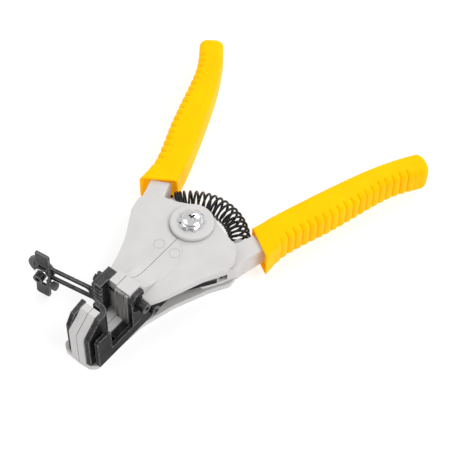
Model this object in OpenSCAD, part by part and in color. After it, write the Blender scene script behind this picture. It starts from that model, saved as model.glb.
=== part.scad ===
// Double-jaw wire stripper, lying on its back plates.
// +Y runs from the nose to the handles, +X is the clamp side, and the main pivot stands at X = Y = 0.

/* [Body castings] */
// Height of the flat body plates' top face
body_top = 21; // [20.5:0.5:22]
// Thickness of each body plate
plate_t = 3; // [2.6:0.2:3.2]
// Gap between the left and right castings along the seam
seam_gap = 0.3; // [0.2:0.05:0.5]
// Thickness of the inner web beside the seam
web_t = 3; // [2.4:0.2:3.2]

/* [Nose] */
// Height of the two lips and the two rear blocks
nose_top = 30; // [28:0.5:31]
// Height of the wire gap's floor
floor_top = 9; // [7:0.5:9]
// Radius of the ramp from the plates up to the rear blocks
ramp_r = 12; // [11.5:0.5:13]

/* [Pivot] */
// Outer radius of the pivot sleeve
sleeve_r = 4; // [3.6:0.1:4.4]
// Radial running fit on the sleeve
run_fit = 0.05; // [0.02:0.01:0.1]
// Radius of the cap disc
cap_r = 9.9; // [9.7:0.1:10]
// Thickness of the cap disc
cap_t = 2; // [1.5:0.1:2.4]

/* [Levers and grips] */
// Lower face of the lever arms
arm_low = 7.2; // [7:0.1:7.4]
// Upper face of the lever arms
arm_high = 17.2; // [16.8:0.1:17.4]
// Radius of the lever hubs
hub_r = 11; // [10.5:0.1:11.2]
// How much further open the left lever rests than the right one, in degrees
left_extra = 3.5; // [0:0.1:4]
// Height of a grip
grip_h = 15; // [14.6:0.1:15.6]
// Roundness of the grip section, from an ellipse to a box
grip_power = 4; // [3:0.1:4.4]

/* [Jaws] */
// Thickness of the right front jaw's bent sheet
clamp_t = 2.4; // [2:0.1:2.4]
// Number of wire notches in each blade
notch_count = 6; // [4:1:6]
// Distance between two wire notches
notch_pitch = 2.7; // [2.4:0.1:2.8]

/* [Draw bars] */
// Thickness of the draw bars
bar_t = 2; // [1.6:0.1:2]
// Radius of the pins that link the bars to the levers
link_r = 1.2; // [1:0.1:1.2]

/* [Return spring] */
// Number of turns
spring_turns = 17; // [12:1:18]
// Outer radius of the coil
coil_r = 5.1; // [4.4:0.1:5.2]
// Radius of the spring wire
wire_r = 0.6; // [0.5:0.05:0.7]

/* [Wire stop] */
// Thickness of the slotted arm
stop_arm_t = 1.2; // [1:0.1:1.4]
// Distance of the clamp screw from the arm's bend
stop_at = 26.3; // [20:0.1:27]

/* [Hidden] */
$fn = 64;
seam = seam_gap / 2;
clear = 0.3;
play = 0.05;
eps = 0.01;

// Plates and eyes round the pivot
top_z = body_top - plate_t;
eye_r = 9.7;
eye_cut_r = 10;
eye_t = 1.3;
cap_gap = 0.1;

// Nose, along Y
lip_front = -75.2;
lip_rear = -63.7;
lip_slope_y = -67;
lip_slope_z = 22.3;
block_a_front = -49.1;
block_b_front = -49.7;
ramp_end = -31;
nose_left = -4.1;
lip_right = 3.7;
block_right = 7.6;

// Right rear jaw pad and the side plate behind it
pad_front = -51.2;
pad_layers = 6;
side_plate_x = block_right;
side_plate_t = 2.3;
side_plate_low = 10.3;

// Clamp-side screws: [y, z]
clamp_screws = [[-46.9, 23], [-41.3, 15]];
screw_head_r = 2.4;
screw_shank_r = 1.4;
screw_end_x = 14.5;

// Front jaws
jaw_low = plate_t + clear;
clamp_rear = -60;
clamp_left = -1.6;
clamp_right = 6.4;
blade_left = -6.8;
blade_right = nose_left - clear;
blade_rear = -63.2;

// Rear blade
rear_blade_left = -9;
rear_blade_front = -54.4;
rear_blade_back = -44;
rear_blade_low = 10;
notch_z = 12;

// Draw bars
bar_in = 7.9;
bar_low = 4;
bar_high = 9.7;
clamp_bar_front = -72.8;
blade_bar_front = -69.4;
bar_rear = -24;
bar_bend = -30;
riser_front = -36.4;
post_rear = -64.6;
post_top = 22.5;
tongue_low = 10.9;
tongue_high = 14;
tongue_w = 5.2;
tongue_end = 24.4;
pin_room = 0.3;

// Levers, drawn for the right side at rest
link_at = [21.8, -10.4];
prong_low = 9.2;
fork_low = tongue_low - clear;
fork_high = tongue_high + clear;
hub_gap = 0.3;
hub_mid = (plate_t + top_z) / 2;
tang_low = 7.6;
tang_high = 15.6;
grip_mid = 11.4;
left_link_at = [-norm(link_at) * cos(left_extra - atan2(link_at.y, link_at.x)),
                -norm(link_at) * sin(left_extra - atan2(link_at.y, link_at.x))];

// Return spring: an arc about a point near the pivot
spring_mid = [0.5, -2.1];
spring_arc_r = 22.1;
spring_from = 38;
spring_to = 148;
spring_z = 10.5;
spring_steps = 14;
spring_sides = 6;
peg_r = 2.4;

// Wire stop, in the arm's own frame: x along the arm, y towards the nose
stop_origin = [-9, -52.6, 0];
stop_turn = 190;
stop_arm_low = 13.6;
stop_arm_high = 22;
stop_arm_end = 31.6;
slot_low = 15.6;
slot_high = 20;
slot_from = 5.6;
slot_to = 28.4;
slot_mid = (slot_low + slot_high) / 2;
stop_plate_t = 1.2;
stop_lean = -4;
stop_front = stop_arm_t / 2 + clear;
shank_r = 1.8;
peg_z = 11;
disc_t = 1.2;
disc_back = -stop_arm_t / 2 - clear - disc_t;

casting = [0.84, 0.83, 0.81];
black_steel = [0.16, 0.16, 0.17];
chrome = [0.78, 0.78, 0.8];
yellow = [0.98, 0.75, 0.1];

// ---- Helpers ----

// Points of a corner at b, rounded by r, on the way from a to c
function rounded_corner(a, b, c, r, n = 6) =
    let (
        u = (a - b) / norm(a - b),
        w = (c - b) / norm(c - b),
        half = acos(u * w) / 2,
        middle = b + (u + w) / norm(u + w) * r / sin(half),
        start = b + u * r / tan(half) - middle,
        end = b + w * r / tan(half) - middle,
        turn = atan2(start.x * end.y - start.y * end.x, start * end),
        first = atan2(start.y, start.x)
    )
    [for (i = [0:n]) middle + r * [cos(first + turn * i / n), sin(first + turn * i / n)]];

// An outline from [x, y, corner radius] rows
function outline(rows) =
    let (n = len(rows), at = function (i) [rows[(i + n) % n].x, rows[(i + n) % n].y])
    [for (i = [0:n - 1])
        each rows[i].z > 0 ? rounded_corner(at(i - 1), at(i), at(i + 1), rows[i].z) : [at(i)]];

module slab(rows, low, high) {
    translate([0, 0, low])
        linear_extrude(high - low)
            polygon(outline(rows));
}

// A profile of [y, z] points, extruded from x = from to x = to
module side_profile(points, from, to) {
    translate([from, 0, 0])
        rotate([90, 0, 90])
            linear_extrude(to - from)
                polygon(points);
}

module box(low, high) {
    translate(low)
        cube(high - low);
}

module post(r, low, high, at = [0, 0]) {
    translate([at.x, at.y, low])
        cylinder(r = r, h = high - low);
}

// A round bar along X through [y, z], from x = from to x = to
module cross_pin(r, at, from, to) {
    translate([from, at.x, at.y])
        rotate([0, 90, 0])
            cylinder(r = r, h = to - from);
}

// ---- Body castings ----

// Half of the plates, as [x, y, corner radius], without the nose
right_top = [[seam, -43, 0], [12, -43, 1], [15.2, -36.8, 12], [21.7, -20, 20], [26.3, -9.8, 5],
             [26.8, -3, 3.6], [23.2, 2.6, 5], [12.2, 6.2, 12], [5.8, 8.7, 0], [seam, 9.6, 0]];
left_top = [[-seam, 9.6, 0], [-5.8, 8.7, 0], [-12.4, 5.4, 12], [-23.4, 2, 5], [-27.6, -3.4, 3.6],
            [-25.9, -10.5, 6], [-17.9, -23.8, 20], [-14.2, -33, 14], [-11.4, -43, 1.2], [-seam, -43, 0]];
right_base = [[seam, lip_front, 0], [5.6, lip_front + 0.4, 2.4], [8.1, -72.4, 1.6], [7.9, -62, 20], [9, -44.4, 20],
              [13.5, -28.4, 30], [20.4, -12.4, 20], [25.4, -4.2, 4], [24.4, 2.4, 4], [12.2, 6.2, 12],
              [5.8, 8.7, 0], [seam, 9.6, 0]];
left_base = [[-seam, 9.6, 0], [-5.8, 8.7, 0], [-12.4, 5.8, 12], [-24.4, 2.2, 4], [-25.4, -4.2, 4],
             [-20.4, -12.4, 20], [-13.5, -28.4, 30], [-10.2, -44.4, 20], [-10.4, -72.8, 2.2],
             [-7.8, lip_front + 0.4, 2.4], [-seam, lip_front, 0]];

function ramp() = [for (t = [0:5:acos(1 - (nose_top - body_top) / ramp_r)])
                      [ramp_end - ramp_r * sin(t), body_top + ramp_r * (1 - cos(t))]];

// Lip, floor, rear block and ramp down to the plates
function nose_side(block_front) = concat(
    [[ramp_end, plate_t - eps], [ramp_end, body_top]],
    ramp(),
    [[block_front + 5.6, nose_top], [block_front, nose_top], [block_front, floor_top],
     [lip_rear, floor_top], [lip_rear, nose_top], [lip_slope_y, nose_top],
     [lip_front, lip_slope_z], [lip_front, plate_t - eps]]);

module left_body() {
    color(casting)
        difference() {
            union() {
                slab(left_top, top_z, body_top);
                slab(left_base, 0, plate_t);
                box([-seam - web_t, -43, plate_t - eps], [-seam, -12.5, top_z + eps]);
                side_profile(nose_side(block_a_front), nose_left, -seam);
                post(eye_r, 0, eye_t);
                post(eye_r, top_z, top_z + eye_t);
            }
            post(eye_cut_r, eye_t, plate_t + eps);
            post(eye_cut_r, top_z + eye_t, body_top + eps);
            post(sleeve_r, top_z - eps, body_top);
            cross_pin(1.4, [-48.2, 24], nose_left - eps, -1);
        }
}

module right_body() {
    color(casting)
        difference() {
            union() {
                slab(right_top, top_z, body_top);
                slab(right_base, 0, plate_t);
                box([seam, -43, plate_t - eps], [seam + web_t, -12.5, top_z + eps]);
                side_profile(nose_side(block_b_front), seam, lip_right);
                side_profile(concat([[ramp_end, top_z], [ramp_end, body_top]], ramp(),
                                    [[block_b_front, nose_top], [block_b_front, floor_top],
                                     [-38, floor_top], [-38, top_z]]), lip_right - eps, block_right);
                post(eye_r, eye_t + clear, plate_t);
                post(eye_r, top_z + eye_t + clear, body_top - cap_gap);
            }
            difference() {
                post(eye_cut_r, -eps, eye_t + clear);
                post(eye_r, plate_t, plate_t + 1);
            }
            post(eye_cut_r, top_z - eps, top_z + eye_t + clear);
            post(cap_r + clear, body_top - cap_gap, body_top + 1);
            post(sleeve_r + run_fit, eye_t, body_top);
            for (at = clamp_screws)
                cross_pin(screw_shank_r, at, 1.2, block_right + eps);
        }
}

// ---- Pivot ----

module pivot_sleeve() {
    color(chrome)
        difference() {
            post(sleeve_r, eye_t, body_top);
            post(2.5, eye_t + 1.5, body_top + eps);
        }
}

module pivot_cap() {
    color(casting)
        translate([0, 0, body_top])
            rotate_extrude()
                polygon([[2.5, 0], [cap_r - 0.5, 0], [cap_r, 0.4], [cap_r, cap_t - 0.6],
                         [cap_r - 0.6, cap_t], [2.5, cap_t]]);
}

washer_low = body_top + cap_t;
washer_t = 0.7;

module lock_washer() {
    teeth = 10;
    color(chrome)
        difference() {
            union() {
                post(4.9, washer_low, washer_low + washer_t);
                for (i = [0:teeth - 1])
                    rotate([0, 0, 360 / teeth * i])
                        translate([0, 0, washer_low])
                            linear_extrude(washer_t)
                                polygon([[4.4, -1.2], [5.8, -1], [6.2, -0.2], [5.8, 1], [4.4, 1.2]]);
            }
            post(2.5, washer_low - eps, washer_low + washer_t + eps);
        }
}

module pivot_screw() {
    head_low = washer_low + washer_t;
    head_r = 4.55;
    head_h = 2.6;
    dome = [for (t = [0:15:90]) [head_r * cos(t), 0.9 + (head_h - 0.9) * sin(t)]];
    color(chrome)
        difference() {
            union() {
                translate([0, 0, head_low])
                    rotate_extrude()
                        polygon(concat([[0, 0], [head_r, 0]], dome));
                post(2.5, eye_t + 2, head_low + eps);
            }
            for (a = [0, 90])
                rotate([0, 0, a - 5])
                    box([-1.8, -0.45, head_low + 0.8], [1.8, 0.45, head_low + 4]);
        }
}

// ---- Levers and grips, drawn on the right and mirrored for the left ----

arm_outline = [[9, 8.6, 0], [7, -8.6, 0], [13.4, -13.6, 2], [15.2, -17.4, 3], [20, -18, 3.2], [24.4, -10.6, 10],
               [27.6, -4, 6], [28.2, 0, 4], [31.1, 11.6, 0], [23, 14.4, 0], [20.3, 6.6, 1.5], [14.4, 4, 1.5]];
fork_room = [[8, -22, 0], [30, -22, 0], [25.9, -7.1, 0], [22.5, -5.1, 1], [14, -5.4, 3], [8, -10.5, 0]];
tang_outline = [[31.1, 11.6, 0], [33.8, 24, 30], [38.6, 41, 40], [46.6, 65, 40], [52.6, 82, 2], [48, 84.6, 2],
                [39.4, 65, 40], [31.4, 41, 40], [26.3, 26, 20], [23, 14.4, 0]];

module right_tang(grow = 0) {
    slab(tang_outline, tang_low - grow, tang_high + grow);
}

module on_left() {
    rotate([0, 0, left_extra])
        mirror([1, 0, 0])
            children();
}

// The arm, its tang, the fork for the draw bar and the peg that holds the spring's end.
// The arm is cut back round the other lever's hub, which takes the heights from free_low to free_high.
module lever(hub_low, hub_high, free_low, free_high) {
    difference() {
        union() {
            difference() {
                slab(arm_outline, arm_low, arm_high);
                post(hub_r + clear, free_low, free_high);
                slab(fork_room, fork_low, fork_high);
                box([8, -20, arm_low - 1], [32, -3, prong_low]);
            }
            right_tang();
            post(hub_r, hub_low, hub_high);
            translate([21.2, 6.5, spring_z])
                rotate([0, 90, 180 - 53])
                    cylinder(r = peg_r, h = 6);
        }
        post(sleeve_r + run_fit, plate_t, top_z);
        post(link_r, arm_low - 1, arm_high + 1, link_at);
    }
}

module right_lever() {
    color(casting)
        lever(hub_mid + hub_gap / 2, top_z - hub_gap, plate_t, hub_mid + hub_gap / 2);
}

module left_lever() {
    color(casting)
        on_left()
            lever(plate_t + hub_gap, hub_mid - hub_gap / 2, hub_mid - hub_gap / 2, top_z);
}

module link_pin() {
    post(link_r, prong_low + 0.2, arm_high - 0.2, link_at);
}

module right_link_pin() {
    color(chrome)
        link_pin();
}

module left_link_pin() {
    color(chrome)
        on_left()
            link_pin();
}

// Grip stations: [x, y, half width, direction from +Y in degrees]. The section is nearly a box at the mouth.
grip_stations = [[27.9, 12.4, 8.8, 30], [28.1, 14.6, 8.1, 26], [28.7, 19, 7.3, 20], [29.6, 24, 7.1, 18],
                 [32.4, 33, 7.2, 18.5], [36.6, 45, 7.4, 18.8], [40.9, 58, 7, 18.5], [44.9, 70, 6.4, 20],
                 [48.9, 80, 5.9, 25], [53.2, 88, 5.9, 30], [55.6, 91.8, 5.9, 32], [57, 94, 5.7, 32],
                 [58, 95.6, 5, 32], [58.8, 96.9, 3.2, 32]];
grip_sides = 20;

function grip_ring(s) =
    let (
        mouth = max(0, 1 - (s[1] - grip_stations[0][1]) / 12),
        h = grip_h / 2 * min(1, sqrt(s[2] / 5.9)),
        e = 2 / (grip_power * (1 + mouth))
    )
    [for (i = [0:grip_sides - 1])
        let (
            a = 360 * i / grip_sides,
            across = s[2] * sign(cos(a)) * pow(abs(cos(a)), e),
            up = h * sign(sin(a)) * pow(abs(sin(a)), e)
        )
        [s[0] + across * cos(s[3]), s[1] - across * sin(s[3]), grip_mid + up]];

module grip() {
    rings = len(grip_stations);
    points = [for (s = grip_stations) each grip_ring(s)];
    sides = [for (k = [0:rings - 2]) for (i = [0:grip_sides - 1])
                let (j = (i + 1) % grip_sides, a = k * grip_sides)
                each [[a + i, a + grip_sides + i, a + grip_sides + j], [a + i, a + grip_sides + j, a + j]]];
    difference() {
        polyhedron(points, concat([[for (i = [0:grip_sides - 1]) i]], sides,
                                  [[for (i = [grip_sides - 1:-1:0]) (rings - 1) * grip_sides + i]]));
        right_tang(play);
        slab(arm_outline, arm_low - play, arm_high + play);
    }
}

module right_grip() {
    color(yellow)
        grip();
}

module left_grip() {
    color(yellow)
        on_left()
            grip();
}

// ---- Draw bars ----

// A bar at x = bar_in from y = front that rises behind the jaws and bends out to a slot, open outwards,
// for the pin at eye. The tongue runs on past the pin by beyond.
module bar_with_tongue(front, eye, beyond) {
    root = [bar_in + bar_t / 2, bar_bend];
    run = (eye - root) / norm(eye - root);
    across = [run.y, -run.x] * tongue_w / 2;
    tip = eye + run * beyond;
    slot = link_r + pin_room;
    difference() {
        union() {
            box([bar_in, front, bar_low], [bar_in + bar_t, bar_rear, bar_high]);
            side_profile([[riser_front - 3, bar_low + 1], [bar_rear, bar_low + 1], [bar_rear, tongue_high],
                          [riser_front, tongue_high], [riser_front, bar_high]], bar_in, bar_in + bar_t);
            translate([0, 0, tongue_low])
                linear_extrude(tongue_high - tongue_low)
                    polygon([[bar_in, bar_bend - 4], [bar_in + bar_t, bar_bend - 4], root + across + run * 2,
                             tip + across, tip - across, root - across + run * 3, [bar_in, bar_bend + 3]]);
        }
        post(slot, tongue_low - 1, tongue_high + 1, eye);
        box([eye.x, eye.y - slot, tongue_low - 1], [tongue_end + 5, eye.y + slot, tongue_high + 1]);
        box([tongue_end, eye.y - 9, tongue_low - 1], [tongue_end + 9, eye.y + 9, tongue_high + 1]);
    }
}

// Rivets: [y, z]
rivet_r = 1.2;
clamp_rivets = [[-70.4, 8], [-67, 8]];
blade_rivet_places = [[-67.8, 6.9], [-65, 6.9]];

module clamp_draw_bar() {
    color(black_steel)
        difference() {
            union() {
                bar_with_tongue(clamp_bar_front, link_at, 2.8);
                side_profile([[clamp_bar_front, bar_low], [post_rear, bar_low], [post_rear, post_top - 1],
                              [post_rear - 1, post_top], [clamp_bar_front + 1, post_top],
                              [clamp_bar_front, post_top - 1]], bar_in, bar_in + bar_t);
                box([lip_right + clear, clamp_rear + 0.1, bar_low], [bar_in + eps, -51, floor_top - clear]);
            }
            for (at = clamp_rivets)
                cross_pin(rivet_r, at, bar_in - eps, bar_in + bar_t - 0.5);
        }
}

module blade_draw_bar() {
    color(black_steel)
        mirror([1, 0, 0])
            difference() {
                bar_with_tongue(blade_bar_front, [-left_link_at.x, left_link_at.y], 3.6);
                for (at = blade_rivet_places)
                    cross_pin(rivet_r, at, bar_in - eps, bar_in + bar_t - 0.5);
            }
}

// Rivets with spacer collars between jaw and bar, from x = from to the bar
module rivets(places, from, collar_from, collar_r) {
    for (at = places) {
        cross_pin(rivet_r, at, from, bar_in + bar_t - 0.5);
        cross_pin(collar_r, at, collar_from, bar_in);
    }
}

module clamp_jaw_rivets() {
    color(chrome)
        rivets(clamp_rivets, clamp_right - clamp_t, clamp_right, 2.1);
}

module blade_rivets() {
    color(chrome)
        mirror([1, 0, 0])
            rivets(blade_rivet_places, -blade_right, -blade_left, 1.7);
}

// ---- Front jaws ----

jaw_side = [[clamp_rear, jaw_low], [clamp_rear, nose_top], [lip_slope_y, nose_top],
            [lip_front + 0.7, lip_slope_z], [lip_front + 0.7, jaw_low]];

module front_clamp_jaw() {
    bend = clamp_t * 2;
    in_x = clamp_right - clamp_t;
    in_y = clamp_rear - clamp_t;
    color(black_steel)
        difference() {
            intersection() {
                slab([[in_x, -80, 0], [clamp_right, -80, 0], [clamp_right, clamp_rear, bend],
                      [clamp_left, clamp_rear, 0], [clamp_left, in_y, 0], [in_x, in_y, bend - clamp_t]],
                     jaw_low, nose_top);
                side_profile(jaw_side, clamp_left - 1, clamp_right + 1);
                union() {
                    box([in_x - eps, -80, 0], [clamp_right + 1, -50, 40]);
                    box([clamp_left - 1, -80, floor_top + clear], [clamp_right, -50, 40]);
                }
            }
            for (at = clamp_rivets)
                cross_pin(rivet_r, at, in_x - eps, clamp_right + eps);
        }
}

// Round notches along a blade's edge at y = edge
module wire_notches(edge, low, from, to) {
    for (i = [0:notch_count - 1])
        cross_pin(0.85 + 0.06 * i, [edge, low + notch_pitch * i], from, to);
}

module front_blade() {
    color(black_steel)
        difference() {
            side_profile([[blade_rear, jaw_low], [blade_rear, nose_top], [-70.6, nose_top - 1.6],
                          [-73.9, 22.9], [-73.9, jaw_low]], blade_left, blade_right);
            wire_notches(blade_rear, notch_z + 2, blade_left - 1, blade_right + 1);
            for (at = blade_rivet_places)
                cross_pin(rivet_r, at, blade_left - eps, blade_right + eps);
        }
}

// ---- Rear jaws ----

module rear_clamp_pad() {
    low = floor_top + 0.3;
    high = nose_top - 0.6;
    layer = (block_right - seam - 0.6) / pad_layers;
    color(black_steel)
        for (i = [0:pad_layers - 1]) {
            x = seam + 0.3 + layer * i;
            front = pad_front + (i % 2 == 0 ? 0 : 0.15);
            box([x, front, low], [x + layer + (i < pad_layers - 1 ? eps : 0), block_b_front, high]);
        }
}

module clamp_side_plate() {
    color(black_steel)
        difference() {
            side_profile([[pad_front, side_plate_low], [pad_front, 26.4], [-48.4, 29], [-43.3, 29],
                          [-43.3, 17.7], [-37.4, 17.7], [-37.4, side_plate_low]],
                         side_plate_x, side_plate_x + side_plate_t);
            cross_pin(4.7, [-46, 22], side_plate_x + 1.2, side_plate_x + side_plate_t + 1);
            for (at = clamp_screws)
                cross_pin(screw_shank_r, at, side_plate_x - eps, side_plate_x + side_plate_t + eps);
        }
}

module side_plate_screws() {
    color(black_steel)
        for (i = [0:1]) {
            seat = side_plate_x + (i == 0 ? 1.2 : side_plate_t);
            difference() {
                union() {
                    cross_pin(screw_shank_r, clamp_screws[i], 1.2, seat + eps);
                    cross_pin(screw_head_r, clamp_screws[i], seat, screw_end_x);
                }
                translate([screw_end_x - 2, clamp_screws[i].x, clamp_screws[i].y])
                    rotate([0, 90, 0])
                        cylinder(r = 1.3, h = 3, $fn = 6);
            }
        }
}

module rear_blade() {
    seat = rear_blade_back - 5.4;
    color(black_steel)
        difference() {
            side_profile([[rear_blade_back, rear_blade_low], [rear_blade_back, nose_top],
                          [rear_blade_front, nose_top], [rear_blade_front, rear_blade_low + 2],
                          [rear_blade_front + 2, rear_blade_low]], rear_blade_left, nose_left);
            box([nose_left - 0.5, rear_blade_front - 1, 0], [nose_left + 1, seat, 40]);
            wire_notches(rear_blade_front, notch_z + 2, rear_blade_left - 1, nose_left + 1);
            cross_pin(1.4, [-48.2, 24], rear_blade_left - eps, nose_left + eps);
        }
}

// ---- Wire stop ----

module along_arm() {
    translate(stop_origin)
        rotate([0, 0, stop_turn])
            children();
}

// A round about the clamp screw's axis, from y = from to y = to
module round_from(from, to, r) {
    translate([stop_at, to, slot_mid])
        rotate([90, 0, 0])
            cylinder(r = r, h = to - from);
}

module stop_arm() {
    foot_t = 1.4;
    color(black_steel)
        difference() {
            union() {
                box([rear_blade_left - foot_t, -53.7, stop_arm_low], [rear_blade_left, -45, 27]);
                along_arm()
                    box([0.8, -stop_arm_t / 2, stop_arm_low], [stop_arm_end, stop_arm_t / 2, stop_arm_high]);
            }
            box([rear_blade_left, -60, 0], [rear_blade_left + 5, -40, 40]);
            along_arm() {
                box([slot_from, -2, slot_low], [slot_to, 2, slot_high]);
                for (x = [slot_from, slot_to])
                    translate([x, 2, slot_mid])
                        rotate([90, 0, 0])
                            cylinder(r = (slot_high - slot_low) / 2, h = 4);
            }
            cross_pin(1.4, [-48.2, 24], rear_blade_left - 4, rear_blade_left + eps);
        }
}

module stop_arm_screw() {
    seat = rear_blade_left - 1.4;
    color(black_steel)
        difference() {
            union() {
                cross_pin(1.4, [-48.2, 24], seat - eps, -1);
                cross_pin(2.6, [-48.2, 24], seat - 2.2, seat);
            }
            box([seat - 3, -48.6, 20], [seat - 1.4, -47.8, 28]);
        }
}

// The tall plate in front of the arm, with a window, two tabs along the arm's edges and a low ear for the peg
module stop_bracket() {
    color(black_steel)
        along_arm()
            difference() {
                union() {
                    translate([stop_at, stop_front, slot_mid - 1])
                        rotate([0, stop_lean, 0])
                            difference() {
                                rotate([90, 0, 0])
                                    translate([0, 0, -stop_plate_t])
                                        linear_extrude(stop_plate_t)
                                            polygon(outline([[-3.4, -16, 1.4], [3.4, -16, 1.4], [3.4, 15.6, 0.6],
                                                             [-3.4, 15.6, 1.4]]));
                                box([-1.9, -1, -8], [1.9, 3, 7]);
                                box([-1.1, -1, 12.1], [0.5, 3, 13]);
                            }
                    box([stop_at - 3.4, -stop_arm_t / 2, stop_arm_high + clear],
                        [stop_at + 3, stop_front + 0.6, stop_arm_high + 1.5]);
                    box([stop_at - 3, -stop_arm_t / 2, stop_arm_low - 1.5],
                        [stop_at + 3.4, stop_front + 0.6, stop_arm_low - clear]);
                    round_from(stop_front, stop_front + stop_plate_t, 3.7);
                    box([stop_at - 3.8, stop_front, peg_z - 1.6], [stop_at - 2, stop_front + stop_plate_t, peg_z + 1.6]);
                }
                round_from(-1, 8, shank_r + 0.1);
            }
}

// Round plate behind the arm, off the screw's axis, with a small hole near its far edge
module stop_back_disc() {
    color(black_steel)
        along_arm()
            difference() {
                translate([2.6, 0, -1.2])
                    round_from(disc_back, disc_back + disc_t, 6.6);
                translate([6, 0, 0.4])
                    round_from(disc_back - 1, disc_back + 2, 0.6);
                round_from(disc_back - 1, disc_back + 2, shank_r + 0.1);
            }
}

// The short round peg beside the plate, along the arm
module stop_peg() {
    color(black_steel)
        along_arm()
            translate([stop_at - 6.6, stop_front + stop_plate_t / 2, peg_z])
                rotate([0, 90, 0])
                    cylinder(r = 1.9, h = 2.8);
}

module stop_collar() {
    low = stop_front + stop_plate_t;
    color(chrome)
        along_arm()
            difference() {
                round_from(low, low + 0.8, 3.3);
                round_from(low - 1, low + 2, shank_r + 0.1);
            }
}

// Shank through the slot with a socket cap in front
module stop_clamp_screw() {
    cap_y = stop_front + stop_plate_t + 0.9;
    color(black_steel)
        along_arm()
            difference() {
                union() {
                    round_from(disc_back - 0.6, cap_y + eps, shank_r);
                    round_from(cap_y, cap_y + 2.9, 2.4);
                }
                translate([stop_at, cap_y + 4, slot_mid])
                    rotate([90, 0, 0])
                        cylinder(r = 1.3, h = 3, $fn = 6);
            }
}

// ---- Return spring ----

function spring_point(t) =
    let (
        a = spring_from + (spring_to - spring_from) * t,
        turn = 360 * spring_turns * t,
        out = spring_arc_r + (coil_r - wire_r) * cos(turn)
    )
    [spring_mid.x + out * cos(a), spring_mid.y + out * sin(a), spring_z + (coil_r - wire_r) * sin(turn)];

module return_spring() {
    steps = spring_turns * spring_steps;
    points = [for (k = [0:steps])
        let (
            t = k / steps,
            a = spring_from + (spring_to - spring_from) * t,
            turn = 360 * spring_turns * t,
            out = [cos(turn) * cos(a), cos(turn) * sin(a), sin(turn)],
            ahead = spring_point(t + 0.0005) - spring_point(t - 0.0005),
            side = cross(ahead, out) / norm(cross(ahead, out))
        )
        for (i = [0:spring_sides - 1])
            spring_point(t) + wire_r * (cos(360 * i / spring_sides) * out + sin(360 * i / spring_sides) * side)];
    sides = [for (k = [0:steps - 1]) for (i = [0:spring_sides - 1])
                let (j = (i + 1) % spring_sides, a = k * spring_sides, b = a + spring_sides)
                each [[a + i, b + j, b + i], [a + i, a + j, b + j]]];
    color(black_steel)
        polyhedron(points, concat([[for (i = [spring_sides - 1:-1:0]) i]], sides,
                                  [[for (i = [0:spring_sides - 1]) steps * spring_sides + i]]));
}

left_body();
right_body();
pivot_sleeve();
pivot_cap();
lock_washer();
pivot_screw();
left_lever();
right_lever();
left_grip();
right_grip();
left_link_pin();
right_link_pin();
clamp_draw_bar();
front_clamp_jaw();
clamp_jaw_rivets();
blade_draw_bar();
front_blade();
blade_rivets();
rear_clamp_pad();
clamp_side_plate();
side_plate_screws();
rear_blade();
stop_arm();
stop_arm_screw();
stop_bracket();
stop_back_disc();
stop_peg();
stop_collar();
stop_clamp_screw();
return_spring();
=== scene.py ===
"""Looks of a double-jaw wire stripper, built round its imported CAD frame. Everything is in metres."""
import math
import bmesh
import bpy
from mathutils import Matrix, Vector


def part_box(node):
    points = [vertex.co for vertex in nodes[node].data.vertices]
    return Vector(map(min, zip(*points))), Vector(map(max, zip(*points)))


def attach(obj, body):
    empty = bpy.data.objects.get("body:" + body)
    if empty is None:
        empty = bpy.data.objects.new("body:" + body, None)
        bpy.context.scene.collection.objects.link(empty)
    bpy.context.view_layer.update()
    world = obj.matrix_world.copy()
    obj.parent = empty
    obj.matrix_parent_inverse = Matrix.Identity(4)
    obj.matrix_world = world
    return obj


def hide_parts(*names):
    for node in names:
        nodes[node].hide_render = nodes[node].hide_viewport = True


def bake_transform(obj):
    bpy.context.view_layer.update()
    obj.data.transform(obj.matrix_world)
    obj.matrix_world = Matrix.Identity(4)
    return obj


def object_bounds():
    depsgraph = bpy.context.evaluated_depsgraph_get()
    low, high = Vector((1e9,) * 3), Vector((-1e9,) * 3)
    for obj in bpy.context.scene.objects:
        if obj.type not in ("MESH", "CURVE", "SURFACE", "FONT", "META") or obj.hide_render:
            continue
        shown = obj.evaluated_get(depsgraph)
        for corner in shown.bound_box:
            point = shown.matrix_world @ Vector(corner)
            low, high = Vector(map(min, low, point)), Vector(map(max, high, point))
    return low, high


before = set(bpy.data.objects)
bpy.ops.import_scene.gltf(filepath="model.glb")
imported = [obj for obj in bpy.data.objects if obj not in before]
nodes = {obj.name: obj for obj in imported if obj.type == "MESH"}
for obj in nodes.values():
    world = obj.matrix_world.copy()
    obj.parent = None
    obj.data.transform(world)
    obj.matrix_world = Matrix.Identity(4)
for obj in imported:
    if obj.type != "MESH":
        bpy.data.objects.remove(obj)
cad_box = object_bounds()
MM = 0.001
TAU = 2 * math.pi


# ---- Places read from the frame ----

def centre(node):
    low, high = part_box(node)
    return (low + high) / 2


right_pin = centre("right_link_pin")
left_pin = centre("left_link_pin")
# The left lever is the right one mirrored, then turned a little further open about the pivot.
left_extra = math.atan2(left_pin.y, left_pin.x) - math.atan2(right_pin.y, -right_pin.x)
MIRRORED = Matrix.Rotation(left_extra, 4, "Z") @ Matrix.Scale(-1, 4, (1, 0, 0))
AS_DRAWN = Matrix.Identity(4)


# ---- Material nodes ----

NOISE_ROUGHNESS = 0.5
EDGE_SAMPLES = 4
# Cosines between the rounded normal and the real one, on a flat and on a sharp edge
FLAT_COSINE, EDGE_COSINE = 0.99, 0.8
CREVICE_SAMPLES = 6
# Share of open air above which a place counts as open
OPEN_AIR = 0.85


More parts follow.
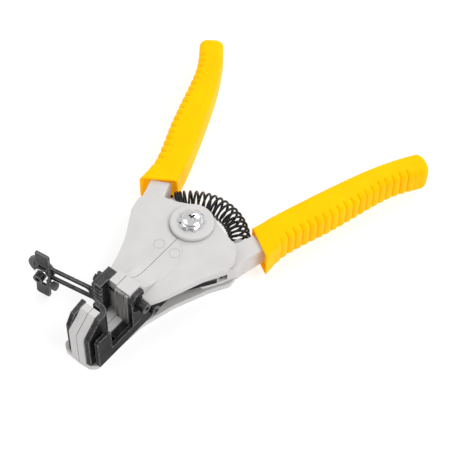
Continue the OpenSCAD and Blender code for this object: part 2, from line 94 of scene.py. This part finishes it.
class Tree:
    """A material's node tree, with short calls to add and link its nodes."""

    def __init__(self, name, roughness, metallic=0.0, specular=0.5):
        self.material = bpy.data.materials.new(name)
        self.material.use_nodes = True
        self.tree = self.material.node_tree
        self.shader = self.tree.nodes["Principled BSDF"]
        self.shader.inputs["Metallic"].default_value = metallic
        self.shader.inputs["Roughness"].default_value = roughness
        self.shader.inputs["Specular IOR Level"].default_value = specular
        self.place = self.add("ShaderNodeTexCoord").outputs["Object"]

    def add(self, kind, inputs=None, **settings):
        node = self.tree.nodes.new(kind)
        for key, value in settings.items():
            setattr(node, key, value)
        for key, value in (inputs or {}).items():
            if isinstance(value, bpy.types.NodeSocket):
                self.tree.links.new(value, node.inputs[key])
            else:
                node.inputs[key].default_value = value
        return node

    def noise(self, size, detail=3.0, stretch=(1, 1, 1)):
        """Noise whose features are about size metres across, stretched along each axis."""
        scale = [1 / (size * s) for s in stretch]
        scaled = self.add("ShaderNodeMapping", {"Vector": self.place, "Scale": scale})
        return self.add("ShaderNodeTexNoise", {"Vector": scaled.outputs[0], "Scale": 1.0, "Detail": detail,
                                               "Roughness": NOISE_ROUGHNESS}).outputs["Fac"]

    def math(self, operation, a, b=0.0):
        return self.add("ShaderNodeMath", {0: a, 1: b}, operation=operation).outputs[0]

    def remap(self, value, low, high, to_low=0.0, to_high=1.0, smooth=False):
        kind = "SMOOTHSTEP" if smooth else "LINEAR"
        return self.add("ShaderNodeMapRange", {"Value": value, "From Min": low, "From Max": high,
                                               "To Min": to_low, "To Max": to_high},
                        interpolation_type=kind).outputs[0]

    def mix(self, factor, a, b):
        """Colour a where factor is 0 and colour b where it is 1."""
        node = self.add("ShaderNodeMix", data_type="RGBA")
        for socket, value in ((node.inputs[0], factor), (node.inputs[6], a), (node.inputs[7], b)):
            if isinstance(value, bpy.types.NodeSocket):
                self.tree.links.new(value, socket)
            else:
                socket.default_value = value if socket == node.inputs[0] else (*value, 1.0)
        return node.outputs[2]

    def edges(self, radius):
        """1 along sharp edges, from how far a rounded normal turns away from the real one."""
        rounded = self.add("ShaderNodeBevel", {"Radius": radius}, samples=EDGE_SAMPLES).outputs[0]
        normal = self.add("ShaderNodeNewGeometry").outputs["Normal"]
        same = self.add("ShaderNodeVectorMath", {0: rounded, 1: normal},
                        operation="DOT_PRODUCT").outputs["Value"]
        return self.remap(same, FLAT_COSINE, EDGE_COSINE)

    def crevices(self, distance, shut=0.35):
        """1 where no more than shut of the air within distance is open, 0 in the open."""
        open_air = self.add("ShaderNodeAmbientOcclusion", {"Distance": distance}, samples=CREVICE_SAMPLES,
                            only_local=True).outputs["AO"]
        return self.remap(open_air, OPEN_AIR, shut)

    def bump(self, height, distance, strength=1.0, normal=None):
        inputs = {"Height": height, "Distance": distance, "Strength": strength}
        if normal:
            inputs["Normal"] = normal
        return self.add("ShaderNodeBump", inputs).outputs[0]

    def finish(self, colour=None, roughness=None, normal=None):
        for key, value in (("Base Color", colour), ("Roughness", roughness), ("Normal", normal)):
            if value is not None:
                self.tree.links.new(value, self.shader.inputs[key])
        return self.material


def casting(name, marks=False):
    """Satin light grey paint on a die casting: faint mottling, orange peel, soft wear along the edges,
    painted shade in the crevices.
    """
    t = Tree(name, 0.42, specular=0.4)
    mottle = t.remap(t.noise(9 * MM, 4), 0.3, 0.7)
    colour = t.mix(mottle, (0.63, 0.617, 0.612), (0.673, 0.659, 0.655))
    specks = t.remap(t.noise(0.5 * MM, 2), 0.66, 0.74)
    colour = t.mix(t.math("MULTIPLY", specks, 0.35), colour, (0.50, 0.49, 0.47))
    worn = t.math("MULTIPLY", t.edges(0.35 * MM), t.remap(t.noise(3 * MM, 4), 0.4, 0.65))
    colour = t.mix(t.math("MULTIPLY", worn, 0.35), colour, (0.83, 0.825, 0.81))
    # Painted shade: the paint is darkened where the crevice mask finds little open air.
    crevice_shade = t.math("MULTIPLY", t.crevices(2.5 * MM), 0.35)
    colour = t.mix(crevice_shade, colour, (0.36, 0.35, 0.33))
    roughness = t.remap(t.noise(1.6 * MM, 3), 0.3, 0.7, 0.36, 0.50)
    peel = t.bump(t.noise(0.35 * MM, 2), 0.02 * MM, 0.5)
    if marks:
        peel = t.bump(casting_marks(t), 0.16 * MM, 1.0, peel)
    return t.finish(colour, roughness, peel)


# Ejector-pin circles in the plates, in mm
PIN_MARKS = ((-4.3, -17.2), (4.2, -16.8))
PIN_MARK_R = 2.4
PIN_MARK_WIDTH = 0.28
# Share of the width at which a circle is at its full depth
PIN_MARK_FLOOR = 0.3


def pin_mark(t, place):
    """1 on the thin circle about a place in PIN_MARKS, whatever the height."""
    x, y = place
    flat = t.add("ShaderNodeVectorMath", {0: t.place, 1: (1, 1, 0)}, operation="MULTIPLY").outputs[0]
    far = t.add("ShaderNodeVectorMath", {0: flat, 1: (x * MM, y * MM, 0)},
                operation="DISTANCE").outputs["Value"]
    off = t.math("ABSOLUTE", t.math("SUBTRACT", far, PIN_MARK_R * MM))
    width = PIN_MARK_WIDTH * MM
    return t.remap(off, width, PIN_MARK_FLOOR * width, smooth=True)


def casting_marks(t):
    """The two pin circles pressed in, as a height from 0 to 1."""
    first, second = (pin_mark(t, place) for place in PIN_MARKS)
    return t.math("SUBTRACT", 1.0, t.math("MAXIMUM", first, second))


def vinyl(name):
    """Dip-moulded yellow vinyl: painted shade down in the grooves, a painted orange glow that lifts its
    shaded sides, a soft sheen, fine pores.
    """
    t = Tree(name, 0.42, specular=0.04)
    tone = t.remap(t.noise(14 * MM, 3), 0.3, 0.7)
    colour = t.mix(tone, (0.95, 0.52, 0.0), (0.98, 0.575, 0.0))
    # Painted shade: deeper orange down in the grooves between the ribs.
    colour = t.mix(t.crevices(0.9 * MM, 0.5), colour, (0.80, 0.17, 0.0))
    rubbed = t.math("MULTIPLY", t.edges(0.6 * MM), t.remap(t.noise(4 * MM, 4), 0.4, 0.65))
    colour = t.mix(t.math("MULTIPLY", rubbed, 0.3), colour, (1.0, 0.74, 0.02))
    roughness = t.remap(t.noise(2.2 * MM, 4), 0.3, 0.7, 0.36, 0.52)
    pores = t.bump(t.noise(0.28 * MM, 2), 0.012 * MM, 0.4)
    # Painted light: a faint orange glow that lifts the grip's shaded sides.
    t.shader.inputs["Emission Color"].default_value = (1.0, 0.22, 0.0, 1.0)
    t.shader.inputs["Emission Strength"].default_value = 0.26
    t.shader.inputs["Subsurface Weight"].default_value = 0.1
    t.shader.inputs["Subsurface Radius"].default_value = (1.0, 0.5, 0.1)
    t.shader.inputs["Subsurface Scale"].default_value = 0.8 * MM
    return t.finish(colour, roughness, pores)


# Painted light: the grey that faces looking up are painted towards, as if lit from above.
TOP_LIGHT_GREY = (0.12, 0.12, 0.12)
# Painted shade: near black painted into corners and crevices.
CREVICE_SHADE_BLACK = (0.004, 0.004, 0.004)


def black_oxide(name, dark, pale, gloss, grain=(1, 1, 1), wear=0.7, bare=0.38, shine=0.05, top_light=0.75):
    """Blackened steel: cloudy oxide, brushed grain along one axis, painted light that makes the faces
    that look up paler, painted shade in the corners, grey metal showing along the edges."""
    t = Tree(name, gloss, metallic=0.1, specular=shine)
    cloud = t.remap(t.noise(5 * MM, 4), 0.3, 0.7)
    colour = t.mix(cloud, dark, pale)
    # Painted light: faces that look up are painted paler in patches, as if lit from above.
    normal = t.add("ShaderNodeNewGeometry").outputs["Normal"]
    up = t.add("ShaderNodeSeparateXYZ", {0: normal}).outputs["Z"]
    top_light_patches = t.remap(t.noise(2.5 * MM, 4), 0.25, 0.7, 0.33 * top_light, top_light)
    colour = t.mix(t.math("MULTIPLY", t.remap(up, 0.3, 0.95), top_light_patches), colour, TOP_LIGHT_GREY)
    # Painted shade: corners and crevices painted near black.
    colour = t.mix(t.math("MULTIPLY", t.crevices(3 * MM), 0.8), colour, CREVICE_SHADE_BLACK)
    brushed = t.noise(0.5 * MM, 3, grain)
    worn = t.math("MULTIPLY", t.edges(0.8 * MM), t.remap(t.noise(1.5 * MM, 4), 0.32, 0.55))
    colour = t.mix(t.math("MULTIPLY", worn, wear), colour, (bare, bare, bare))
    roughness = t.remap(brushed, 0.3, 0.7, gloss - 0.08, gloss + 0.12)
    return t.finish(colour, roughness, t.bump(brushed, 0.03 * MM, 0.5))


def layered_steel(name):
    """The rear pad's front face: pale upright leaves with thin dark joints."""
    t = Tree(name, 0.4, metallic=0.4)
    tone = t.remap(t.noise(0.9 * MM, 2, (1, 20, 80)), 0.35, 0.65)
    colour = t.mix(tone, (0.27, 0.265, 0.255), (0.43, 0.425, 0.41))
    joints = t.remap(t.noise(0.42 * MM, 2, (1, 20, 60)), 0.54, 0.62)
    colour = t.mix(joints, colour, (0.05, 0.048, 0.045))
    roughness = t.remap(tone, 0, 1, 0.3, 0.5)
    return t.finish(colour, roughness, t.bump(t.math("SUBTRACT", 1.0, joints), 0.1 * MM, 0.8))


def plated(name):
    """Bright nickel plate: sharp reflections, faint smudges, hairline scratches and painted shade in its
    recesses.
    """
    t = Tree(name, 0.08, metallic=1.0)
    smudge = t.remap(t.noise(2.5 * MM, 4), 0.35, 0.7)
    colour = t.mix(smudge, (0.88, 0.88, 0.89), (0.8, 0.8, 0.82))
    # Painted shade: recesses such as the screw's cross are painted nearly black.
    colour = t.mix(t.math("MULTIPLY", t.crevices(1.0 * MM), 0.9), colour, (0.03, 0.03, 0.03))
    scratches = t.noise(0.12 * MM, 2, (1, 9, 1))
    roughness = t.math("ADD", t.remap(smudge, 0, 1, 0.05, 0.12), t.remap(scratches, 0.62, 0.75, 0, 0.1))
    return t.finish(colour, roughness, t.bump(scratches, 0.003 * MM, 0.3))


CASTING = casting("casting_paint")
BODY_CASTING = casting("body_casting_paint", marks=True)
VINYL = vinyl("yellow_vinyl")
# The last keyword of some blacks sets how much paler their upward faces are painted, as painted light.
BLACK = black_oxide("black_oxide_steel", (0.009, 0.009, 0.010), (0.024, 0.024, 0.025), 0.34, (1, 12, 1))
BLADE = black_oxide("blade_steel", (0.012, 0.012, 0.013), (0.032, 0.032, 0.034), 0.30, (1, 1, 10), 0.95, 0.42)
SCREWS = black_oxide("black_screws", (0.008, 0.008, 0.009), (0.02, 0.02, 0.022), 0.26, shine=0.4, top_light=0.2)
SPRING = black_oxide("spring_wire", (0.004, 0.004, 0.005), (0.010, 0.010, 0.011), 0.24, wear=0.0,
                     shine=0.35, top_light=0.0)
GREY = black_oxide("grey_steel", (0.10, 0.10, 0.10), (0.15, 0.15, 0.15), 0.36, (1, 1, 8), 0.5, 0.5)
STOP = black_oxide("stop_plate_steel", (0.05, 0.05, 0.051), (0.10, 0.10, 0.102), 0.36, (1, 1, 8), 0.6, 0.45)
BAR = black_oxide("draw_bar_steel", (0.009, 0.009, 0.010), (0.024, 0.024, 0.025), 0.40, (1, 12, 1),
                  top_light=0.15)
PAD = layered_steel("layered_pad_steel")
PLATED = plated("nickel_plate")


# ---- Mesh helpers ----

def new_piece(name, verts, faces, material):
    """A smooth-shaded piece in the scene, from its vertices and faces."""
    mesh = bpy.data.meshes.new(name)
    mesh.from_pydata(verts, [], faces)
    mesh.materials.append(material)
    mesh.polygons.foreach_set("use_smooth", [True] * len(mesh.polygons))
    mesh.update()
    piece = bpy.data.objects.new(name, mesh)
    bpy.context.scene.collection.objects.link(piece)
    return piece


def outward(piece):
    """Turns every face of a closed mesh to look outwards."""
    bm = bmesh.new()
    bm.from_mesh(piece.data)
    bmesh.ops.recalc_face_normals(bm, faces=bm.faces)
    bm.to_mesh(piece.data)
    bm.free()


def tube_faces(rings, around):
    """Faces of a closed tube of rings, each with around points, in order."""
    faces = []
    for k in range(rings - 1):
        for i in range(around):
            j = (i + 1) % around
            faces.append((k * around + i, k * around + j, (k + 1) * around + j, (k + 1) * around + i))
    faces.append(tuple(reversed(range(around))))
    faces.append(tuple((rings - 1) * around + i for i in range(around)))
    return faces


def smoothstep(t):
    t = min(max(t, 0.0), 1.0)
    return t * t * (3 - 2 * t)


def between(table, s):
    """Smooth value at s from rows of (s, value, ...), through every row."""
    k = max(i for i in range(len(table) - 1) if i == 0 or table[i][0] <= s)
    a, b = table[k], table[k + 1]
    t = min(max((s - a[0]) / (b[0] - a[0]), 0.0), 1.0)
    before = table[max(k - 1, 0)]
    after = table[min(k + 2, len(table) - 1)]
    values = []
    for column in range(1, len(a)):
        slope_a = (b[column] - before[column]) / (b[0] - before[0])
        slope_b = (after[column] - a[column]) / (after[0] - a[0])
        step = b[0] - a[0]
        values.append((2 * t ** 3 - 3 * t ** 2 + 1) * a[column] + (t ** 3 - 2 * t ** 2 + t) * step * slope_a
                      + (3 * t ** 2 - 2 * t ** 3) * b[column] + (t ** 3 - t ** 2) * step * slope_b)
    return values


# ---- Carried CAD nodes: rounded edges and their materials ----

WELD_WITHIN = 0.001 * MM
FLAT_WITHIN = math.radians(0.8)
SHARP_FROM = math.radians(32)
EDGE_SEGMENTS = 3


def dress(node, material, edge):
    """Keeps a CAD node, with its sharp edges rounded by edge metres."""
    piece = nodes[node]
    piece.data.materials.clear()
    piece.data.materials.append(material)
    weld = piece.modifiers.new("weld", "WELD")
    weld.merge_threshold = WELD_WITHIN
    flatten = piece.modifiers.new("flatten", "DECIMATE")
    flatten.decimate_type = "DISSOLVE"
    flatten.angle_limit = FLAT_WITHIN
    bevel = piece.modifiers.new("edges", "BEVEL")
    bevel.width = edge
    bevel.segments = EDGE_SEGMENTS
    bevel.limit_method = "ANGLE"
    bevel.angle_limit = SHARP_FROM
    bevel.harden_normals = True
    bevel.use_clamp_overlap = True
    normals = piece.modifiers.new("normals", "WEIGHTED_NORMAL")
    normals.keep_sharp = True


# Each node's material and the radius of its edges in mm
CARRIED = (
    ("left_body", BODY_CASTING, 0.55), ("right_body", BODY_CASTING, 0.55),
    ("pivot_sleeve", PLATED, 0.15), ("pivot_cap", CASTING, 0.3),
    ("lock_washer", PLATED, 0.1), ("pivot_screw", PLATED, 0.12),
    ("left_lever", CASTING, 0.5), ("right_lever", CASTING, 0.5),
    ("left_link_pin", PLATED, 0.2), ("right_link_pin", PLATED, 0.2),
    ("clamp_draw_bar", BAR, 0.4), ("blade_draw_bar", BAR, 0.25),
    ("front_clamp_jaw", BLACK, 0.5), ("front_blade", BLADE, 0.15),
    ("clamp_jaw_rivets", BLACK, 0.15), ("blade_rivets", BLACK, 0.15),
    ("rear_clamp_pad", PAD, 0.06), ("clamp_side_plate", BLACK, 0.4),
    ("side_plate_screws", SCREWS, 0.35), ("rear_blade", BLADE, 0.3),
    ("stop_arm", BLACK, 0.15), ("stop_arm_screw", SCREWS, 0.3),
    ("stop_bracket", STOP, 0.15), ("stop_back_disc", GREY, 0.2), ("stop_peg", GREY, 0.3),
    ("stop_collar", PLATED, 0.15), ("stop_clamp_screw", SCREWS, 0.2))

for node, material, edge in CARRIED:
    dress(node, material, edge * MM)


# ---- Grips ----

# Lengths in this part are in mm.
# Middle line of the right grip: (length along it, x, y, half width, direction from +Y in degrees)
GRIP_LINE = ((0, 27.9, 12.4, 8.7, 30), (2.2, 28.1, 14.6, 8.0, 26), (6.6, 28.7, 19, 7.2, 20),
             (11.7, 29.6, 24, 7.0, 18), (21.1, 32.4, 33, 7.1, 18.5), (33.8, 36.6, 45, 7.3, 18.8),
             (47.5, 40.9, 58, 6.9, 18.5), (60.2, 44.9, 70, 6.3, 20), (70.9, 48.9, 80, 5.8, 25),
             (80, 53.2, 88, 5.8, 30), (87.1, 57, 94, 5.8, 32), (92, 59.6, 98.2, 5.8, 32))
GRIP_END = 90.3
GRIP_LOW, GRIP_HIGH = (z.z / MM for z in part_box("right_grip"))
# Rounding of the far end, and how much of it the width and the height take
END_ROUND = 4.0
END_ACROSS = 0.9
END_UP = 0.75
# Corner radius of the section, which grows along the grip from its mouth
CORNER = 3.0
MOUTH_CORNER = 1.9
MOUTH_LENGTH = 32.0
LEAST_CORNER = 0.4
CORNER_STEPS = 7
SIDE_STEPS = 6
TOP_STEPS = 12
# Ribs on the outer side: the valleys between them go round onto the top and fade out there
RIB_PITCH = 3.9
RIB_COUNT = 20
RIB_FROM = 4.8
RIB_DEPTH = 1.0
RIB_REACH = 2.3
RIB_FADE = 1.3
RIB_DROP = 0.7
RIB_LEAN = 1.2
RIB_BLUNT = 0.42
# Depth of the first and last valleys, and over how many ribs they deepen
RIB_END_SHARE = 0.4
RIB_START, RIB_STOP = 2.5, 1.5
# The mouth's rim and the recess round the arm
RIM = 1.2
RECESS = 1.5
# (inset from the outside, distance behind the mouth), from the arm out to the rim and over it
MOUTH_RINGS = ((5.2, RECESS), (2.6, RECESS), (RIM, RECESS), (RIM, 0.5), (RIM - 0.25, 0.1), (0.5, 0.0),
               (0.15, 0.1))
FIRST_RING = 0.35
RING_STEP = 0.7
RIB_STEP = RIB_PITCH / 16
END_STEP = 0.25


def section(half_width, half_height, corner):
    """Points of a rounded rectangle from the middle of its outer side round over the top: (across, up)."""
    most = 0.98
    corner = min(corner, half_width * most, half_height * most)
    flat_x, flat_z = half_width - corner, half_height - corner
    points = []

    def straight(a, b, steps):
        for i in range(steps):
            points.append((a[0] + (b[0] - a[0]) * i / steps, a[1] + (b[1] - a[1]) * i / steps))

    def arc(x, z, start):
        for i in range(CORNER_STEPS):
            a = math.radians(start + 90 * i / CORNER_STEPS)
            points.append((x + corner * math.cos(a), z + corner * math.sin(a)))

    straight((half_width, -flat_z), (half_width, flat_z), SIDE_STEPS)
    arc(flat_x, flat_z, 0)
    straight((flat_x, half_height), (-flat_x, half_height), TOP_STEPS)
    arc(-flat_x, flat_z, 90)
    straight((-half_width, flat_z), (-half_width, -flat_z), SIDE_STEPS)
    arc(-flat_x, -flat_z, 180)
    straight((-flat_x, -half_height), (flat_x, -half_height), TOP_STEPS)
    arc(flat_x, -flat_z, 270)
    return points


def rib_depth(s):
    """How far the surface dips at s, with rounded ribs and narrow valleys between them."""
    place = (s - RIB_FROM) / RIB_PITCH
    if not 0 <= place <= RIB_COUNT:
        return 0.0
    phase = place % 1.0
    ends = min(1.0, place / RIB_START + RIB_END_SHARE, (RIB_COUNT - place) / RIB_STOP + RIB_END_SHARE)
    return RIB_DEPTH * ends * (1 - abs(math.sin(math.pi * phase ** RIB_LEAN)) ** RIB_BLUNT)


def grip_ring(s, inset=0.0):
    """One ring of the grip at s along its middle line. The ring's points are in metres."""
    x, y, half_width, turn = between(GRIP_LINE, min(s, GRIP_END))
    half_height = (GRIP_HIGH - GRIP_LOW) / 2
    left = max(GRIP_END - s, 0.0)
    if left < END_ROUND:
        tuck = END_ROUND - math.sqrt(max(END_ROUND ** 2 - (END_ROUND - left) ** 2, 0.0))
        half_width -= tuck * END_ACROSS
        half_height -= tuck * END_UP
    half_width -= inset
    half_height -= inset
    mid_z = (GRIP_LOW + GRIP_HIGH) / 2
    a = math.radians(turn)
    ring = []
    dip = rib_depth(s) if not inset else 0.0
    corner = MOUTH_CORNER + (CORNER - MOUTH_CORNER) * smoothstep(s / MOUTH_LENGTH)
    for across, up in section(half_width, half_height, max(corner - inset / 2, LEAST_CORNER)):
        if dip:
            beyond = half_width - across
            reach = 1 - smoothstep((beyond - RIB_REACH) / RIB_FADE)
            across -= dip * reach
            # Only the outer quarter of the height sinks
            near_top = smoothstep(abs(up) / half_height * 4 - 3)
            up -= math.copysign(dip * RIB_DROP * reach * near_top, up)
        ring.append(Vector(((x + across * math.cos(a)) * MM, (y - across * math.sin(a)) * MM,
                            (mid_z + up) * MM)))
    return ring


def grip(name, node, body, placed):
    """A ribbed sleeve in place of a CAD grip, drawn on the right and moved by placed."""
    rings = [grip_ring(back, inset) for inset, back in MOUTH_RINGS]
    s = FIRST_RING
    while s < GRIP_END:
        rings.append(grip_ring(s))
        near_end = GRIP_END - s < END_ROUND
        ribbed = RIB_FROM - 1 < s < RIB_FROM + RIB_PITCH * RIB_COUNT + 0.5
        s += END_STEP if near_end else (RIB_STEP if ribbed else RING_STEP)
    rings.append(grip_ring(GRIP_END))
    verts = [placed @ p for ring in rings for p in ring]
    piece = new_piece(name, verts, tube_faces(len(rings), len(rings[0])), VINYL)
    outward(piece)
    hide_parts(node)
    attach(piece, body)


grip("right_grip_sleeve", "right_grip", "right_handle", AS_DRAWN)
grip("left_grip_sleeve", "left_grip", "left_handle", MIRRORED)


# ---- Return spring ----

# Lengths in this part are in mm, and places along the arc in degrees.
SPRING_TURNS = 17
WIRE = 0.6
COIL = 5.1 - WIRE
SPRING_Z = 10.5
ARC_MID = (0.5, -2.1)
ARC_R = 22.1
ARC_FROM, ARC_TO = 38.0, 148.0
TURN_STEPS = 26
WIRE_SIDES = 10
AHEAD = 0.02
# Extra turns wound close together at the left end, in more steps
CLOSE_TURNS = 2
CLOSE_FROM = 136.0
CLOSE_STEPS = 3
# Where the coil passes from one body to the next
HALF_RIGHT = 79.0
HALF_LEFT = 105.0
# How much of the way from the first body to the second each length of coil starts and ends
SHARES = (0.0, 0.08, 0.3, 0.7, 0.92, 1.0)


def arc_point(degrees, out=0.0, up=0.0):
    a = math.radians(degrees)
    return Vector(((ARC_MID[0] + (ARC_R + out) * math.cos(a)) * MM,
                   (ARC_MID[1] + (ARC_R + out) * math.sin(a)) * MM, (SPRING_Z + up) * MM))


def coil_point(degrees):
    turn = TAU * SPRING_TURNS * (degrees - ARC_FROM) / (ARC_TO - ARC_FROM)
    turn += TAU * CLOSE_TURNS * smoothstep((degrees - CLOSE_FROM) / (ARC_TO - CLOSE_FROM))
    return arc_point(degrees, COIL * math.cos(turn), COIL * math.sin(turn))


def coil_length(name, start, end):
    """A length of the coil between two places on its arc, as a mesh."""
    extra = CLOSE_STEPS if end > CLOSE_FROM else 1
    steps = max(8, round(TURN_STEPS * extra * SPRING_TURNS * abs(end - start) / (ARC_TO - ARC_FROM)))
    verts = []
    for k in range(steps + 1):
        d = start + (end - start) * k / steps
        here = coil_point(d)
        ahead = (coil_point(d + AHEAD) - coil_point(d - AHEAD)).normalized()
        side = (here - arc_point(d)).normalized()
        side = (side - ahead * side.dot(ahead)).normalized()
        other = ahead.cross(side)
        for i in range(WIRE_SIDES):
            a = TAU * i / WIRE_SIDES
            verts.append(here + (side * math.cos(a) + other * math.sin(a)) * WIRE * MM)
    piece = new_piece(name, verts, tube_faces(steps + 1, WIRE_SIDES), SPRING)
    outward(piece)
    return piece


def bend_coil(name, start, end):
    """The coil from start to end, as separate lengths cut where SHARES say."""
    for k, (low, high) in enumerate(zip(SHARES, SHARES[1:])):
        first, last = start + (end - start) * low, start + (end - start) * high
        piece = coil_length(f"{name}_{k + 1}", first, last)
        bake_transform(piece)
        if not k:
            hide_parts("return_spring")


bend_coil("spring_right", ARC_FROM, HALF_RIGHT)
bend_coil("spring_middle", HALF_RIGHT, HALF_LEFT)
bend_coil("spring_left", HALF_LEFT, ARC_TO)


# ---- Raised casting line on the right plate ----

# (share along it, x, y), in mm. The last two rows only steer the line's end.
RELIEF_LINE = ((0, 0.6, -9.6), (0.16, 5.0, -12.4), (0.3, 7.7, -15.6), (0.44, 8.9, -20.1), (0.7, 9.2, -29.3),
               (0.8, 7.9, -32.4), (1, 7.5, -39.0))
RELIEF_STEPS = 70
RELIEF_END = 0.72
RELIEF_HALF = 0.28
RELIEF_RISE = 0.16
RELIEF_SUNK = 0.02
RELIEF_ROUND = 7


def relief(name, body):
    """A low rounded bead that lies on the plate's top face."""
    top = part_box("pivot_cap")[0].z
    verts = []
    for k in range(RELIEF_STEPS + 1):
        t = RELIEF_END * k / RELIEF_STEPS
        here, ahead = between(RELIEF_LINE, t), between(RELIEF_LINE, t + 0.002)
        run = Vector((ahead[0] - here[0], ahead[1] - here[1])).normalized()
        for i in range(RELIEF_ROUND):
            a = math.pi * i / (RELIEF_ROUND - 1)
            side = RELIEF_HALF * math.cos(a)
            verts.append(((here[0] + run.y * side) * MM, (here[1] - run.x * side) * MM,
                          top + (RELIEF_RISE * math.sin(a) - RELIEF_SUNK) * MM))
    piece = new_piece(name, verts, tube_faces(RELIEF_STEPS + 1, RELIEF_ROUND), CASTING)
    outward(piece)
    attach(piece, body)


relief("right_plate_relief", "right_side")


# ---- Floor, light and camera ----

LIT_PLACE = (0, 0, 0.01)
# (name, watts, width, place)
LAMPS = (("key", 6.2, 0.7, (0.75, 0.15, 0.95)), ("fill", 2.2, 0.9, (-0.7, -0.5, 0.9)),
         ("rear", 2.4, 0.6, (-0.2, 0.9, 0.8)))
FLOOR_HALF = 3.0
FLOOR_BELOW = 0.02 * MM
FLOOR_GLOW = 0.70
# Viewing angles in degrees
AZIMUTH, ELEVATION, ROLL = 37.87, 54.47, 1.19
LENS = 117.39
CAMERA_TARGET = Vector((11.0, 13.1, 12.0)) * MM
CAMERA_DISTANCE = 0.6667
# The surroundings: their light, and the direction and light of their dark side
WORLD_LIGHT, WORLD_DARK = 0.66, 0.02
DARK_TOWARD = (0.50, -0.80, -0.33)
# Cosines from that direction where the surroundings start to darken and are darkest
DARK_FROM, DARK_FULL = 0.35, 0.8


def area_light(name, energy, size, place):
    """A square lamp that shines on the middle of the tool."""
    lamp = bpy.data.lights.new(name, "AREA")
    lamp.energy = energy
    lamp.size = size
    light = bpy.data.objects.new(name, lamp)
    light.location = place
    light.rotation_euler = (Vector(LIT_PLACE) - Vector(place)).to_track_quat("-Z", "Y").to_euler()
    bpy.context.scene.collection.objects.link(light)


def floor():
    """A plain pale sheet just under the tool."""
    corners = ((-1, -1), (1, -1), (1, 1), (-1, 1))
    level = cad_box[0].z - FLOOR_BELOW
    t = Tree("floor_paper", 0.9, specular=0.1)
    t.shader.inputs["Emission Color"].default_value = (1.0, 1.0, 1.0, 1.0)
    t.shader.inputs["Emission Strength"].default_value = FLOOR_GLOW
    t.finish(t.mix(t.remap(t.noise(0.4, 2), 0.3, 0.7), (0.38, 0.38, 0.38), (0.40, 0.40, 0.40)))
    mesh = bpy.data.meshes.new("floor")
    mesh.from_pydata([(x * FLOOR_HALF, y * FLOOR_HALF, level) for x, y in corners], [], [(0, 1, 2, 3)])
    mesh.materials.append(t.material)
    piece = bpy.data.objects.new("floor", mesh)
    bpy.context.scene.collection.objects.link(piece)


def camera():
    azimuth, elevation, roll = (math.radians(a) for a in (AZIMUTH, ELEVATION, ROLL))
    back = Vector((math.sin(azimuth) * math.cos(elevation), -math.cos(azimuth) * math.cos(elevation),
                   math.sin(elevation)))
    right = Vector((math.cos(azimuth), math.sin(azimuth), 0))
    up = back.cross(right)
    turned_right = right * math.cos(roll) + up * math.sin(roll)
    turned_up = up * math.cos(roll) - right * math.sin(roll)
    data = bpy.data.cameras.new("camera")
    data.sensor_width = 36.0
    data.lens = LENS
    data.clip_start = 0.01
    view = bpy.data.objects.new("camera", data)
    turn = Matrix((turned_right, turned_up, back)).transposed().to_4x4()
    view.matrix_world = Matrix.Translation(CAMERA_TARGET + back * CAMERA_DISTANCE) @ turn
    bpy.context.scene.collection.objects.link(view)
    bpy.context.scene.camera = view


def studio():
    """Even white surroundings, darker towards the horizon in front of the tool."""
    world = bpy.data.worlds.new("studio")
    world.use_nodes = True
    tree = world.node_tree
    toward = tree.nodes.new("ShaderNodeVectorMath")
    toward.operation = "DOT_PRODUCT"
    toward.inputs[1].default_value = DARK_TOWARD
    tree.links.new(tree.nodes.new("ShaderNodeTexCoord").outputs["Generated"], toward.inputs[0])
    shade = tree.nodes.new("ShaderNodeMapRange")
    for key, value in (("From Min", DARK_FROM), ("From Max", DARK_FULL), ("To Min", WORLD_LIGHT),
                       ("To Max", WORLD_DARK)):
        shade.inputs[key].default_value = value
    tree.links.new(toward.outputs["Value"], shade.inputs["Value"])
    tree.nodes["Background"].inputs["Color"].default_value = (1.0, 1.0, 1.0, 1.0)
    tree.links.new(shade.outputs[0], tree.nodes["Background"].inputs["Strength"])
    bpy.context.scene.world = world


floor()
camera()
for lamp in LAMPS:
    area_light(*lamp)
studio()
bpy.context.scene.view_settings.view_transform = "Standard"
